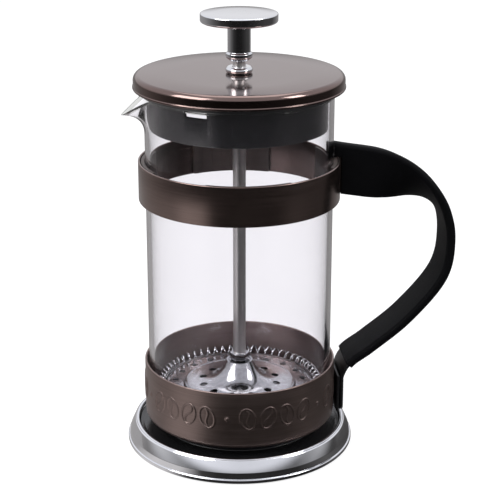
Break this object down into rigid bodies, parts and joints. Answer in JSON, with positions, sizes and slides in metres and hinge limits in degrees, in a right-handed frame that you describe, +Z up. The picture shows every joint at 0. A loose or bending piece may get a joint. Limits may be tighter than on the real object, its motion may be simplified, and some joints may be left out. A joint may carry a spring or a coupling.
{
  "type": "french press",
  "caption": "Glass-beaker coffee press in a bronze band frame with a chrome base, a rubber-sleeved strap handle, a lift-off lid and a spring-edged plunger filter.",
  "frame": {"origin": "centre of the base pad's flat underside, on the beaker's axis", "axes": "+Z up along the plunger rod, +X towards the handle, spout along -X"},
  "size_m": [0.129, 0.09, 0.1719],
  "materials": {
    "chrome_base": "polished chrome plate",
    "chrome_fittings": "polished chrome plate",
    "bronze_frame": "dark bronze plated steel, brushed along the band",
    "bronze_lid": "dark bronze plated steel, satin brushed",
    "black_steel": "black painted steel",
    "screw_steel": "plain bright steel",
    "rod_steel": "drawn stainless steel",
    "filter_steel": "bright stainless sheet, mesh and wire",
    "rubber_grip": "matt black textured rubber",
    "rubber_pad": "matt black silicone rubber",
    "brown_pad": "dark brown silicone rubber",
    "black_insert": "black moulded plastic",
    "grey_plastic": "dark grey moulded plastic, satin",
    "clear_glass": "clear borosilicate glass"
  },
  "bodies": {
    "frame": {"base_ring": "chrome_base", "base_insert": "black_insert", "base_pad": "rubber_pad", "base_screw_1": "screw_steel", "base_screw_2": "screw_steel", "base_screw_3": "screw_steel", "lower_cup": "bronze_frame", "glass_cushion": "rubber_pad", "upper_band": "bronze_frame", "band_pad_1": "brown_pad", "band_pad_2": "brown_pad", "band_pad_3": "brown_pad", "band_pad_4": "brown_pad", "handle_strap": "black_steel", "handle_bracket": "black_steel", "handle_sleeve": "rubber_grip", "upper_rivet_1": "screw_steel", "upper_rivet_2": "screw_steel", "lower_rivet_1": "black_steel", "lower_rivet_2": "black_steel"},
    "beaker": {"glass_beaker": "clear_glass"},
    "lid_bush": {"lid_bush": "chrome_fittings", "lid_washer": "screw_steel", "lid_nut": "screw_steel"},
    "lid": {"lid_cover": "bronze_lid", "lid_collar": "grey_plastic"},
    "rod": {"plunger_rod": "rod_steel", "knob": "chrome_fittings"},
    "filter": {"cross_plate": "filter_steel", "mesh_filter": "filter_steel", "spring_plate": "filter_steel", "edge_spring": "filter_steel", "filter_nut": "filter_steel"}
  },
  "joints": [
    {"name": "beaker_lift", "type": "slide", "parent": "frame", "child": "beaker", "axis": [0, 0, 1], "range_m": [0, 0.11]},
    {"name": "lid_lift", "type": "slide", "parent": "beaker", "child": "lid_bush", "axis": [0, 0, 1], "range_m": [0, 0.13]},
    {"name": "lid_turn", "type": "hinge", "parent": "lid_bush", "child": "lid", "pos_m": [0, 0, 0.145], "axis": [0, 0, 1], "continuous": true},
    {"name": "plunger_slide", "type": "slide", "parent": "lid_bush", "child": "rod", "axis": [0, 0, 1], "range_m": [0, 0.1]},
    {"name": "filter_turn", "type": "hinge", "parent": "rod", "child": "filter", "pos_m": [0, 0, 0.02], "axis": [0, 0, 1], "continuous": true}
  ]
}
